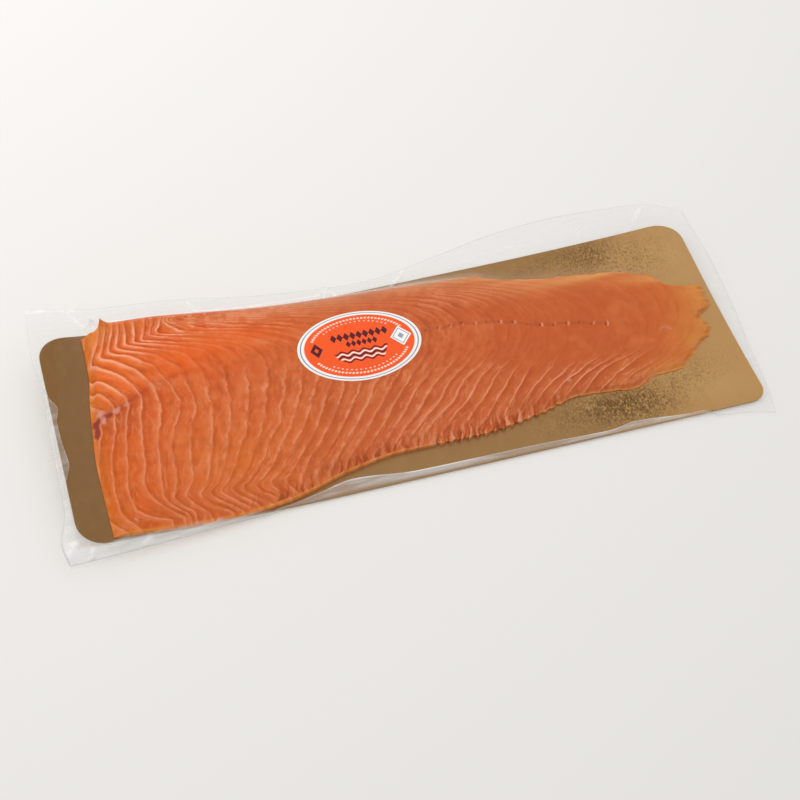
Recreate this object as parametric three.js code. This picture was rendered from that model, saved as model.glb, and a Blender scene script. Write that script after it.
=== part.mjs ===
// Side of smoked salmon on a gold board, vacuum-packed in clear film, with an oval label on top.
// X runs along the board from the thick cut end to the tail, Y from the belly edge to the back, Z up.
import * as THREE from 'three';

// Sizes in millimetres
const BOARD = { length: 600, width: 220, thickness: 1.8, corner: 24, nearRightCorner: 15, skew: 5 };
const FILM = { thickness: 0.8, pastEdge: 0.5 };
const LABEL = { length: 111, width: 76, thickness: 0.4, x: -26.5, y: 31 };
const GAP = 0.3;

const HALF_LENGTH = BOARD.length / 2;
const HALF_WIDTH = BOARD.width / 2;
const BOARD_UNDER = FILM.thickness + GAP;
const BOARD_TOP = BOARD_UNDER + BOARD.thickness;
const FLESH_UNDER = BOARD_TOP + GAP;
const HINGE_Y = -HALF_WIDTH - FILM.pastEdge;
const FILM_END = HALF_LENGTH + FILM.pastEdge;

// Rise of the two ends of the board, which lies flat on the table between BEND.left and BEND.right
const BEND = { left: -60, right: 100, leftNear: 12, leftFar: 25.5, rightNear: 0.9, rightFar: 6.5 };

// Smooth curve through pairs of [position, value], which never overshoots between two of them.
function curve(pairs) {
  const slopes = pairs.slice(1).map(([x, y], i) => (y - pairs[i][1]) / (x - pairs[i][0]));
  const tangents = pairs.map((_, i) => {
    const before = slopes[i - 1] ?? slopes[i];
    const after = slopes[i] ?? slopes[i - 1];
    return before * after <= 0 ? 0 : (2 * before * after) / (before + after);
  });
  return (position) => {
    const x = THREE.MathUtils.clamp(position, pairs[0][0], pairs.at(-1)[0]);
    const i = Math.min(pairs.findLastIndex(([start]) => start <= x), pairs.length - 2);
    const span = pairs[i + 1][0] - pairs[i][0];
    const t = (x - pairs[i][0]) / span;
    const ease = t * t * (3 - 2 * t);
    const leave = span * tangents[i] * t * (1 - t) * (1 - t);
    const arrive = span * tangents[i + 1] * t * t * (t - 1);
    return pairs[i][1] * (1 - ease) + pairs[i + 1][1] * ease + leave + arrive;
  };
}

// Outline of the flesh on the board, from above: belly edge and back edge along X, and the two ends along Y
const bellyEdge = curve([[-272, -107.5], [-230, -109.5], [-190, -111.3], [-168, -110.8], [-148, -108.5],
  [-122, -105], [-64, -88], [-20, -81], [50, -81.5], [100, -74.5], [150, -63], [195, -68], [221, -60],
  [244, -58], [294, -40]]);
const backEdge = curve([[-272, 105], [-244, 107], [-200, 107.5], [-150, 105.8], [-50, 100.8], [50, 98],
  [101, 96], [106, 92], [150, 79], [200, 71], [220, 67], [244, 58], [260, 52], [272, 41], [284, 33],
  [294, 29]]);
const cutEnd = curve([[-110, -271.5], [-38, -272.5], [0, -269.5], [30, -266.5], [60, -262], [108, -260.5]]);
const tailEnd = curve([[-40, 264], [-28, 281], [-17, 283.5], [-7, 280], [1, 290], [9, 295], [26, 293],
  [36, 276]]);
const CUT_STATION = -272;
const TAIL_STATION = 294;
const END_REACH = { cut: 62, tail: 50 };

// Thickness of the flesh along X: at the thickest, what its back has above that by the cut end, at the two
// edges, and how square its back is
const crown = curve([[-272, 8], [-259, 13], [-245, 18.5], [-225, 23.5], [-200, 26.5], [-100, 22.5], [0, 18.5],
  [60, 15.5], [110, 11], [200, 7], [270, 4], [294, 2.4]]);
const shoulder = curve([[-259, 0], [-250, 7.4], [-240, 4.7], [-225, 2.1], [-208, 0]]);
const SHOULDER_SPAN = { from: 0.84, to: 0.97 };
const bellyRim = curve([[-272, 5], [-150, 4], [0, 3], [150, 2.6], [294, 1.8]]);
const backRim = curve([[-272, 6], [-236, 8], [0, 5], [110, 3], [294, 1.8]]);
const backSquareness = curve([[-272, 5], [-200, 11], [-100, 7], [0, 5], [100, 3]]);
const crownPlace = curve([[-272, 0.8], [0, 0.74], [150, 0.62], [294, 0.6]]);
const BELLY_POWER = 1.7;
const FIN = { x: -250.5, v: 0.98, height: 11, reachLeft: 1.4, reachRight: 5, spread: 0.022 };
const CRINKLE = { from: 6, to: 132, pitch: 8, out: 1.3, height: 1.1, spread: 0.05 };

// Film beyond the board: its outer edges, and the stretch of the belly side that is folded over the board
const filmBackEdge = curve([[-301, 152], [-233, 146], [-188, 147], [-94, 132], [0, 122], [68, 134],
  [141, 149], [196, 153], [259, 149], [295, 135], [312, 117]]);
const filmLeftOver = curve([[-131, 9], [-105, 14], [-72, 6], [0, 5], [53, 3], [90, 6], [150, 3]]);
const filmRightOver = curve([[-130, 4], [-94, 9], [-50, 11], [0, 15], [52, 16], [112, 12.5]]);
const bellyMargin = curve([[-301, 13], [-245, 9], [-203, 6], [-152, 2], [-132, 2], [-97, 8.5], [-68, 15],
  [-10, 8.5], [94, 7], [160, 4.5], [182, 8], [236, 3], [273, 7], [311, 15]]);
const foldOver = curve([[-146, 0], [-128, 1], [236, 1], [256, 0]]);
const FILM_SAG = { leftBelly: 0.021, elsewhere: 0.003, from: -300, to: -150, seam: 0.9, seamReach: 6 };
const SHARPEST_MITRE = 0.6;

// Number of cells across and along each body
const CELLS = { corner: 5, boardLength: 36, boardWidth: 4, fleshWidth: 16, label: 14, margin: 4, under: 6 };

// Height of the bent board above its flat middle.
function lift(x, y) {
  const across = (y + HALF_WIDTH) / BOARD.width;
  const left = Math.max(0, (BEND.left - x) / (HALF_LENGTH + BEND.left));
  const right = Math.max(0, (x - BEND.right) / (HALF_LENGTH - BEND.right));
  const leftRise = THREE.MathUtils.lerp(BEND.leftNear, BEND.leftFar, across);
  const rightRise = THREE.MathUtils.lerp(BEND.rightNear, BEND.rightFar, across);
  return leftRise * left ** 2 + rightRise * right ** 2;
}

// Evenly spaced values from one end to the other, both included.
function steps(from, to, count) {
  return Array.from({ length: count + 1 }, (_, i) => from + ((to - from) * i) / count);
}

// Places along X at the given spacing in each stretch: [[start, spacing], ..., [end]].
function stations(stretches) {
  const places = stretches.slice(0, -1).flatMap(([start, spacing], i) => {
    const end = stretches[i + 1][0];
    return steps(start, end, Math.round((end - start) / spacing)).slice(0, -1);
  });
  return [...places, stretches.at(-1)[0]];
}

// Closed solid between two grids of points. Rows run along X and columns along Y.
function closedSheet(upper, lower) {
  const rows = upper.length;
  const cols = upper[0].length;
  const top = (i, j) => i * cols + j;
  const under = (i, j) => (rows + i) * cols + j;
  const index = [];
  const quad = (a, b, c, d) => index.push(a, b, c, a, c, d);
  for (let i = 0; i < rows - 1; i += 1) {
    for (let j = 0; j < cols - 1; j += 1) {
      quad(top(i, j), top(i + 1, j), top(i + 1, j + 1), top(i, j + 1));
      quad(under(i, j), under(i, j + 1), under(i + 1, j + 1), under(i + 1, j));
    }
    const last = cols - 1;
    quad(under(i, 0), under(i + 1, 0), top(i + 1, 0), top(i, 0));
    quad(under(i + 1, last), under(i, last), top(i, last), top(i + 1, last));
  }
  for (let j = 0; j < cols - 1; j += 1) {
    const last = rows - 1;
    quad(under(last, j), under(last, j + 1), top(last, j + 1), top(last, j));
    quad(under(0, j + 1), under(0, j), top(0, j), top(0, j + 1));
  }
  const geometry = new THREE.BufferGeometry();
  geometry.setAttribute('position', new THREE.Float32BufferAttribute([...upper, ...lower].flat(2), 3));
  geometry.setIndex(index);
  geometry.computeVertexNormals();
  return geometry;
}

// Half width of the board at x, next to a corner of the given radius.
function halfWidth(x, radius) {
  const past = Math.max(0, Math.abs(x) - HALF_LENGTH + radius);
  return HALF_WIDTH - radius + Math.sqrt(radius ** 2 - past ** 2);
}

// Gold board: a bent card with rounded corners, the smallest of them at the near right.
function boardGeometry() {
  const arc = steps(0, 90, CELLS.corner).map(THREE.MathUtils.degToRad);
  const corner = arc.map((angle) => HALF_LENGTH - BOARD.corner * (1 - Math.sin(angle)));
  const middle = steps(-corner[0], corner[0], CELLS.boardLength).slice(1, -1);
  const sections = [...corner.map((x) => -x).reverse(), ...middle, ...corner];
  const layer = (height) => sections.map((x) => {
    const rightShare = THREE.MathUtils.smoothstep(x, BEND.right, HALF_LENGTH);
    const near = halfWidth(x, x > 0 ? BOARD.nearRightCorner : BOARD.corner);
    return steps(-near, halfWidth(x, BOARD.corner), CELLS.boardWidth).map((y) => {
      const bellyShare = (0.5 - y / BOARD.width) ** 3;
      return [x + BOARD.skew * rightShare * bellyShare, y, lift(x, y) + height];
    });
  });
  return closedSheet(layer(BOARD_TOP), layer(BOARD_UNDER));
}

// Share of a crinkle at a place along X: ridges and furrows, fading out at both ends of the stretch.
function crinkle(x) {
  const fade = THREE.MathUtils.smoothstep(x, CRINKLE.from, CRINKLE.from + CRINKLE.pitch)
    * (1 - THREE.MathUtils.smoothstep(x, CRINKLE.to - CRINKLE.pitch, CRINKLE.to));
  return fade * Math.cos((2 * Math.PI * x) / CRINKLE.pitch);
}

// Thickness of the flesh at x, where v runs from 0 at the belly edge to 1 at the back.
function fleshThickness(x, v) {
  const place = crownPlace(x);
  const rim = v < place ? bellyRim(x) : backRim(x);
  const swell = crown(x) - rim;
  const bulge = v < place
    ? 1 - (1 - v / place) ** BELLY_POWER
    : Math.sqrt(Math.max(0, 1 - ((v - place) / (1 - place)) ** backSquareness(x)));
  const raised = shoulder(x) * THREE.MathUtils.smoothstep(v, SHOULDER_SPAN.from, SHOULDER_SPAN.to);
  const finReach = x < FIN.x ? FIN.reachLeft : FIN.reachRight;
  const fin = FIN.height * Math.exp(-Math.abs(x - FIN.x) / finReach - ((v - FIN.v) / FIN.spread) ** 2);
  const ridge = CRINKLE.height * crinkle(x) * Math.exp(-v / CRINKLE.spread);
  return rim + (swell + raised) * bulge + fin + ridge;
}

// Place along X of a point of the flesh, drawn towards the slanting cut end or the ragged tail end.
function fleshPlace(station, y) {
  const cutShare = 1 - THREE.MathUtils.smoothstep(station, CUT_STATION, CUT_STATION + END_REACH.cut);
  const tailShare = Math.max(0, (station - TAIL_STATION) / END_REACH.tail + 1);
  return station + (cutEnd(y) - CUT_STATION) * cutShare + (tailEnd(y) - TAIL_STATION) * tailShare;
}

// Height of the flesh's surface at a place on the board.
function fleshTop(x, y) {
  const near = bellyEdge(x);
  const v = (y - near) / (backEdge(x) - near);
  return FLESH_UNDER + lift(x, y) + fleshThickness(x, v);
}

// The side of salmon: thick and square along its back, thin at the belly, ragged and thin at the tail.
function salmonGeometry() {
  const along = stations([[CUT_STATION, 4.5], [-227, 14], [4, 4], [136, 12], [244, 5], [TAIL_STATION]]);
  const across = steps(0, Math.PI, CELLS.fleshWidth).map((angle) => (1 - Math.cos(angle)) / 2);
  const grid = (height) => along.map((station) => across.map((v) => {
    const near = bellyEdge(station) - CRINKLE.out * crinkle(station);
    const y = THREE.MathUtils.lerp(near, backEdge(station), v);
    const x = fleshPlace(station, y);
    return [x, y, FLESH_UNDER + lift(x, y) + height(station, v)];
  }));
  return closedSheet(grid(fleshThickness), grid(() => 0));
}

// Inner face of the film across the board at x, from the free end of the belly margin to the back edge.
function filmSection(x) {
  const turn = foldOver(x) * Math.PI;
  const bottom = (y) => lift(x, y) + FILM.thickness;
  const riser = BOARD.thickness + 2 * GAP;
  const sagRate = THREE.MathUtils.lerp(FILM_SAG.leftBelly, FILM_SAG.elsewhere,
    THREE.MathUtils.smoothstep(x, FILM_SAG.from, FILM_SAG.to));
  const kneeY = HINGE_Y - riser * Math.cos(turn / 2);
  const kneeZ = bottom(HINGE_Y) + riser * Math.sin(turn / 2);
  const margin = steps(1, 0, CELLS.margin).slice(0, -1).map((share) => {
    const reach = share * bellyMargin(x);
    const sag = sagRate * reach ** 2 * (1 - foldOver(x));
    return [kneeY - reach * Math.cos(turn), kneeZ + reach * Math.sin(turn) - sag];
  });
  const under = steps(HINGE_Y, -HINGE_Y, CELLS.under).map((y) => [y, bottom(y)]);
  const back = steps(0, 1, CELLS.margin).slice(1).map((share) => {
    const reach = share * (filmBackEdge(x) + HINGE_Y);
    const seam = FILM_SAG.seam * THREE.MathUtils.smoothstep(reach, 0, FILM_SAG.seamReach);
    return [-HINGE_Y + reach, bottom(-HINGE_Y) + seam - FILM_SAG.elsewhere * reach ** 2];
  });
  return [...margin, [kneeY, kneeZ], ...under, ...back].map(([y, z]) => [y, Math.max(z, FILM.thickness)]);
}

// The same line moved out by the film's thickness, square to itself.
function offsetSection(section) {
  return section.map(([y, z], i) => {
    const [fromY, fromZ] = section[Math.max(0, i - 1)];
    const [toY, toZ] = section[Math.min(section.length - 1, i + 1)];
    const before = new THREE.Vector2(y - fromY, z - fromZ).normalize();
    const after = new THREE.Vector2(toY - y, toZ - z).normalize();
    const along = before.clone().add(after).normalize();
    const reach = FILM.thickness / Math.max(SHARPEST_MITRE, along.dot(i > 0 ? before : after));
    return [y + along.y * reach, z - along.x * reach];
  });
}

// Film pouch: the web under the board, the sealed margin all round it and the fold along the belly side.
function filmGeometry() {
  const along = stations([[-FILM_END, 15], [-154, 4], [-122, 16], [228, 4], [264, 9], [FILM_END]]);
  const sections = along.map((x) => {
    const inner = filmSection(x);
    return { x, inner, outer: offsetSection(inner) };
  });
  const ends = (over, x, sign) => ({ ...sections.at(sign < 0 ? 0 : -1), x, over, sign });
  const all = [ends(filmLeftOver, -FILM_END, -1), ...sections, ends(filmRightOver, FILM_END, 1)];
  const face = (side) => all.map((section) => section[side].map(([y, z]) => {
    const reach = section.over ? section.over(y) : 0;
    const drop = section.over ? FILM_SAG.elsewhere * reach ** 2 : 0;
    const lowest = side === 'inner' ? FILM.thickness : 0;
    return [section.x + reach * (section.sign ?? 0), y, Math.max(z - drop, lowest)];
  }));
  return closedSheet(face('inner'), face('outer'));
}

// Oval label that follows the flesh: a square grid drawn out into an ellipse.
function labelGeometry() {
  const cells = steps(-1, 1, CELLS.label);
  const layer = (height) => cells.map((u) => cells.map((v) => {
    const x = (LABEL.length / 2) * u * Math.sqrt(1 - (v * v) / 2);
    const y = (LABEL.width / 2) * v * Math.sqrt(1 - (u * u) / 2);
    return [x, y, fleshTop(LABEL.x + x, LABEL.y + y) + height];
  }));
  return closedSheet(layer(GAP + LABEL.thickness), layer(GAP));
}

function piece(name, geometry, material) {
  const mesh = new THREE.Mesh(geometry, new THREE.MeshStandardMaterial(material));
  mesh.name = name;
  return mesh;
}

const clearFilm = { color: 0xf2f2f0, roughness: 0.12, metalness: 0, transparent: true, opacity: 0.25 };
const goldFoil = { color: 0xb08650, roughness: 0.32, metalness: 0.85 };
const smokedFlesh = { color: 0xe0642c, roughness: 0.38, metalness: 0 };
const printedPaper = { color: 0xf4562a, roughness: 0.45, metalness: 0 };

const pack = new THREE.Group();
pack.add(piece('film_pouch', filmGeometry(), clearFilm));
pack.add(piece('gold_board', boardGeometry(), goldFoil));
pack.add(piece('salmon_side', salmonGeometry(), smokedFlesh));
const label = piece('label', labelGeometry(), printedPaper);
label.position.set(LABEL.x, LABEL.y, 0);
pack.add(label);

// The origin is under the middle of the whole, on the table
const bounds = new THREE.Box3().setFromObject(pack);
const centre = bounds.getCenter(new THREE.Vector3());
pack.position.set(-centre.x, -centre.y, -bounds.min.z);
const group = new THREE.Group();
group.add(pack);

export default group;
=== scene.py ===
import bpy
import numpy as np
from mathutils import Matrix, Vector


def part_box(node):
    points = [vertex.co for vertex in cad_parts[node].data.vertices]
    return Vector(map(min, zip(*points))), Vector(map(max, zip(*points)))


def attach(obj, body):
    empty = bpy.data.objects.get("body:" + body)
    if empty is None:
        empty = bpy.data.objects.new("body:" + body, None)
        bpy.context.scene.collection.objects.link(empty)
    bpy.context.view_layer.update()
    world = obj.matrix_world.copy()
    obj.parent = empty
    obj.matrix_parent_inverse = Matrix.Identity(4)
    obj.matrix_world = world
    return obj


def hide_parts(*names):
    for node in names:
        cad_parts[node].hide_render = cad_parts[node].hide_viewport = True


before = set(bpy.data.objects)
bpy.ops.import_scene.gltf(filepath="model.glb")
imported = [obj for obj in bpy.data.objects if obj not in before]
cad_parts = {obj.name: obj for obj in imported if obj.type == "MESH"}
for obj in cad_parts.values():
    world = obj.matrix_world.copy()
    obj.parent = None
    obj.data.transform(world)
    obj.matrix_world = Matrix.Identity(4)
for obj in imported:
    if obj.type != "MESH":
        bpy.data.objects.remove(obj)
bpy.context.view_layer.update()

# Sizes in millimetres, on the board's own axes: x along it, y across it, z up from the table
BOARD = {"length": 600, "width": 220, "thickness": 1.8, "corner": 24, "near_right_corner": 15, "skew": 5}
BOARD_EDGE = {"bevel": 0.35, "inset": 0.5}
BOARD_MESH = {"corner": 9, "along": 105, "across": 33}
FILM_THICKNESS = 0.8
GAP = 0.3
LABEL = {"length": 111, "width": 76, "thickness": 0.4, "x": -26.5, "y": 31}
LABEL_MESH = {"rings": 24, "round": 120, "inmost": 0.02}

HALF_LENGTH = BOARD["length"] / 2
HALF_WIDTH = BOARD["width"] / 2
LABEL_HALF_X = LABEL["length"] / 2
LABEL_HALF_Y = LABEL["width"] / 2
BOARD_UNDER = FILM_THICKNESS + GAP
BOARD_TOP = BOARD_UNDER + BOARD["thickness"]
FLESH_UNDER = BOARD_TOP + GAP
METRE = 1000

board_low, board_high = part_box("gold_board")
ORIGIN = np.array([
    board_low.x + HALF_LENGTH / METRE,
    (board_low.y + board_high.y) / 2,
    board_low.z - BOARD_UNDER / METRE,
])

# Rise of the two ends of the board, which lies flat between BEND left and right
BEND = {"left": -60, "right": 100, "left_near": 12, "left_far": 25.5, "right_near": 0.9, "right_far": 6.5}


def curve(pairs):
    """Smooth function through pairs of [position, value], which never overshoots between two of them."""
    xs, ys = np.array(pairs, float).T
    slopes = np.diff(ys) / np.diff(xs)
    before = np.append(slopes[0], slopes)
    after = np.append(slopes, slopes[-1])
    turns = before * after <= 0
    tangents = np.where(turns, 0, 2 * before * after / np.where(turns, 1, before + after))

    def value(position):
        x = np.clip(position, xs[0], xs[-1])
        i = np.clip(np.searchsorted(xs, x, side="right") - 1, 0, len(xs) - 2)
        span = xs[i + 1] - xs[i]
        t = (x - xs[i]) / span
        ease = t * t * (3 - 2 * t)
        leave = span * tangents[i] * t * (1 - t) ** 2
        arrive = span * tangents[i + 1] * t * t * (t - 1)
        return ys[i] * (1 - ease) + ys[i + 1] * ease + leave + arrive

    return value


def smoothstep(x, low, high):
    t = np.clip((x - low) / (high - low), 0, 1)
    return t * t * (3 - 2 * t)


def lerp(a, b, share):
    return a + (b - a) * share


def ramp(x, start, end, low, high):
    """Value that goes smoothly from low at the start to high at the end."""
    return lerp(low, high, smoothstep(x, start, end))


# Outline of the flesh on the board, from above: belly edge and back edge along x, and the two ends along y
belly_edge = curve([[-272, -107.5], [-230, -109.5], [-190, -111.3], [-168, -110.8], [-148, -108.5],
                    [-122, -105], [-64, -88], [-20, -81], [50, -81.5], [100, -74.5], [150, -63],
                    [195, -68], [221, -60], [244, -58], [294, -40]])
back_edge = curve([[-272, 105], [-244, 107], [-200, 107.5], [-150, 105.8], [-50, 100.8], [50, 98],
                   [101, 96], [106, 92], [150, 79], [200, 71], [220, 67], [244, 58], [260, 52], [272, 41],
                   [284, 33], [294, 29]])
cut_end = curve([[-110, -271.5], [-38, -272.5], [0, -269.5], [30, -266.5], [60, -262], [108, -260.5]])
tail_end = curve([[-40, 264], [-28, 281], [-17, 283.5], [-7, 280], [1, 290], [9, 295], [26, 293], [36, 276]])
CUT_STATION = -272
TAIL_STATION = 294
END_REACH = {"cut": 62, "tail": 50}

# Thickness of the flesh along x: at the thickest, what its back has above that by the cut end, at the two
# edges, and how square its back is
crown = curve([[-272, 8], [-259, 13], [-245, 18.5], [-225, 23.5], [-200, 26.5], [-100, 22.5], [0, 18.5],
               [60, 15.5], [110, 11], [200, 7], [270, 4], [294, 2.4]])
shoulder = curve([[-259, 0], [-250, 7.4], [-240, 4.7], [-225, 2.1], [-208, 0]])
SHOULDER_SPAN = {"from": 0.84, "to": 0.97}
belly_rim = curve([[-272, 5], [-150, 4], [0, 3], [150, 2.6], [294, 1.8]])
back_rim = curve([[-272, 6], [-236, 8], [0, 5], [110, 3], [294, 1.8]])
back_squareness = curve([[-272, 5], [-200, 11], [-100, 7], [0, 5], [100, 3]])
crown_place = curve([[-272, 0.8], [0, 0.74], [150, 0.62], [294, 0.6]])
BELLY_POWER = 1.7
FIN = {"x": -250.5, "v": 0.98, "height": 11, "reach_left": 1.4, "reach_right": 5, "spread": 0.022}
CRINKLE = {"from": 6, "to": 132, "pitch": 8, "out": 1.3, "height": 1.1, "spread": 0.05}

# Points of the flesh's surface: distance along x and count across, and how many of those go on below
FLESH_MESH = {"along": 1.7, "across": 128, "under_every": 8}

# Waves of the ragged edges, which grow towards the tail, and of the feathers at its end: height, length of
# one radian and turn, which an edge's own shift multiplies
RAGGED = {"depth": 0.35, "from": 60, "to": 200, "feathers_from": 262}
EDGE_WAVES = [[1, 1.9, 1], [1, 3.1, 2], [1.4, 6.7, 3]]
EDGE_SHIFT = {"belly": 0, "back": 4}
FEATHERS = [[3.5, 1.3, 0], [4.5, 3.7, 1], [2, 0.8, 2]]

# Fine relief: thin edges, swelling flakes and the valley along the middle, fading out at the flesh's edges
THIN_EDGE = {"from": 60, "to": 200, "reach": 5, "cut_reach": 9, "share": 0.85}
FLAKE_SWELL = 0.22
VALLEY = {"depth": 1.0, "spread": 5}
midline = curve([[-272, 4], [-262, 8], [-248, 10.8], [-235.7, 13.5], [-222.7, 21.3], [-210.4, 26],
                 [-198.8, 28.5], [-185.6, 33], [-120, 36], [-27, 34], [60, 34],
                 [88, 31], [112, 27], [135, 18], [172, 11], [196, 4], [240, 0], [294, 0]])
valley_share = curve([[-272, 0.5], [-245, 1], [-205, 0.8], [-170, 0.3], [-60, 0.1], [294, 0.1]])
RELIEF_FADE = 0.06

# Edges of the slices: [x, y, height], half the width of a step, its lean, and its reach along x and y
SLICE_STEPS = [[-178, 100, 0.35], [-123, 70, 0.3], [-66, 88, 0.25], [14, 70, 0.2], [58, 74, 0.2]]
SLICE = {"half": 0.8, "lean": 0.1, "along": 14, "across": 22}

# Width of the flakes outside the first and the last of the lines below, and of the widest flake
OUTER_FLAKE = 12
WIDEST_FLAKE = 40

# The lines of fat between the flakes: number of the line, and its place along x at places across y
FAT_LINES = [
    (0, [[-108, -248], [-97, -257], [-88, -261], [-65, -262], [-36, -259], [-4, -250], [12, -248],
         [23, -252], [31, -257], [36, -263], [60, -275], [107, -268]]),
    (1, [[-104, -222], [-98, -238], [-88, -249], [-73.5, -251.5], [-48, -248], [-5, -240.5], [10.5, -235],
         [20, -237.5], [30.5, -245], [38.5, -251], [44.5, -255.5], [50, -262], [62, -267], [107, -258]]),
    (2, [[-104, -212], [-88, -228.6], [-79, -235], [-69, -237], [-49, -233.5], [1.5, -227], [15.5, -223.5],
         [22.7, -225.5], [33.5, -232], [49, -243.5], [64, -256.5], [69.5, -259.5], [81, -253],
         [93, -246.8], [107, -243]]),
    (4, [[-100, -203], [-92, -212], [-84, -216], [-75, -212], [-43, -208.6], [-23, -203], [-7, -195],
         [2, -192.5], [16, -196], [26, -198], [34, -203], [44.5, -209], [51, -217], [61.5, -228], [67, -238],
         [72.5, -243], [82, -239], [92, -234.3], [107, -232]]),
    (5, [[-104, -190], [-92, -202.5], [-85, -206], [-77, -201], [-60, -196], [-43, -192], [-23, -187],
         [0, -179.8], [16, -181.5], [30, -183.5], [44, -190.5], [54, -201.5], [63, -220], [69.5, -232],
         [74.5, -235.7], [80.5, -233], [91, -229.2], [107, -227]]),
    (6, [[-108, -172], [-98, -185.5], [-93, -191.8], [-86, -195.5], [-79, -189], [-60, -180.5],
         [-35, -173], [0, -166.8], [30, -167], [44, -172], [54, -180.5], [61, -200.5], [66, -213],
         [71, -223], [74.5, -227.6], [83, -225.2], [107, -222]]),
    (8, [[-108, -154.5], [-98, -167], [-86, -177], [-80, -170], [-60, -157.5], [-35, -144.5], [0, -134],
         [30, -130.5], [44, -135], [54, -144], [62, -162], [67, -184], [69.5, -196], [72, -206],
         [74.8, -212], [82, -209], [107, -202]]),
    (10, [[-108, -137], [-98, -149], [-93, -155.5], [-86, -159], [-82, -153], [-67, -138], [-52, -129],
          [-34, -115], [-18, -109], [-4, -102.5], [30, -94], [45, -98], [55, -108], [63, -122],
          [69, -142], [72.5, -160], [76, -185], [79.5, -198], [90, -193], [107, -186]]),
    (14, [[-104, -104], [-90, -110], [-80, -104], [-55, -83], [-40, -71], [-23, -60], [-4, -50],
          [10, -42], [30, -38], [45, -42], [60, -58], [70, -78], [78, -105], [84, -135], [89, -165],
          [93, -178], [107, -168]]),
    (18, [[-90, -62], [-75, -50], [-59, -34], [-34, -12.5], [-13, 7.5], [0, 20], [15, 31], [30, 36],
          [45, 33], [58, 22], [68, 0], [76, -30], [84, -70], [91, -120], [95, -150], [107, -140]]),
    (22, [[-85, -8], [-70, 4], [-56, 20], [-44, 37.5], [-26, 52.5], [-12, 73.8], [0, 86], [17, 93],
          [30, 95], [45, 90], [60, 78], [70, 60], [80, 25], [88, -20], [95, -80], [107, -70]]),
    (26, [[-80, 64], [-64, 80], [-46, 95], [-26, 113.8], [-12, 128], [5, 138], [25, 143], [45, 137],
          [58, 124], [68, 106], [78, 75], [90, 20], [107, -10]]),
    (29, [[-70, 110], [-57, 125], [-44, 144], [-41, 152.5], [-35, 163], [-29, 176], [-15, 188],
          [0, 192], [20, 192], [40, 184], [60, 160], [75, 130], [107, 60]]),
    (31, [[-70, 140], [-57, 156], [-44, 172.5], [-39, 184], [-35, 200], [-30, 212.5], [-15, 225],
          [0, 230], [20, 230], [40, 222], [60, 200], [107, 120]]),
    (33, [[-68, 175], [-59, 191], [-55, 199], [-50, 210], [-47, 220], [-35, 238], [-15, 255],
          [0, 260], [20, 262], [50, 250], [107, 170]]),
]

# How plainly the lines of fat show: patches of [x, y, reach along x, reach along y, amount], the least of it,
# and what the belly half has, which lies below fat_limit and ends by the tail
FAT_PATCHES = [[-245, 50, 42, 42, 1.0], [-205, 78, 60, 16, 0.7], [-150, 88, 60, 12, 0.4],
               [-60, 92, 60, 10, 0.25], [-30, -38, 60, 18, 0.08], [60, -42, 70, 16, 0.2],
               [165, -46, 46, 12, 0.4], [50, 64, 34, 24, 0.28], [-100, 82, 40, 14, 0.2],
               [-95, 62, 30, 24, 0.2], [110, 70, 60, 14, 0.22], [60, 88, 50, 10, 0.15]]
FAT = {"least": 0.13, "belly_half": 0.42, "limit": (-16, 10), "tail": (205, 228)}
fat_limit = curve([[-272, 0], [-220, 18], [-150, 28], [-60, 16], [0, 2], [60, -6], [110, -24], [215, -36]])

# Where the lines are whole: in a block by the back of the cut end, where they are wider and shifted, and by
# the belly towards the tail
BACK_BLOCK = [[-240, 52, 34, 30, 1.2], [-205, 74, 30, 12, 0.5]]
BLOCK = {"shift": 2.4, "rise": 1.4}
LONG_LINES = [[140, -46, 66, 18, 1.0], [50, -36, 56, 24, 0.8], [-30, -44, 50, 26, 0.5]]

# How whole the lines are, how plain the short ones between them and how uneven the flesh: ramps along x, from
# one place to another and from one value to another
WHOLE_BY_CUT = (-225, -190, 0.58, 0.08)
WHOLE_IN_PATCHES = 0.85
SHORT_LINES = (-60, 10, 0.45, 0.8)
FEWER_SHORT = {"block": 0.8, "long": 0.5}
UNEVENNESS = (20, 150, 1, 0.35)

# How far the lines of fat fade out to either side, along x, and how plainly the belly edge is furrowed
line_rise = curve([[-272, 3.2], [-200, 3.4], [-150, 4.4], [-50, 4.0], [40, 2.6], [140, 1.3], [294, 1.2]])
line_fall = curve([[-272, 1.1], [60, 1.0], [140, 0.7], [294, 0.7]])
ruffle_share = curve([[-170, 0.1], [-130, 0.9], [-60, 1.0], [0, 0.9], [90, 0.9], [140, 0.3], [230, 0]])
pleat_share = curve([[-150, 0.1], [-100, 0.25], [0, 0.35], [20, 0.9], [75, 1], [100, 0.5], [135, 0.1]])
RUFFLE_REACH = 11

# The pale edge of the belly that the furrows leave free, with the places where it ends
PALE_EDGE = {"across": (1, 2.6), "along": (-30, 20)}

# Colours as they show through the film, which adds a little white to what lies under it
FILM_WHITE = 0.018
FILM_CLEAR = 0.88

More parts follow.
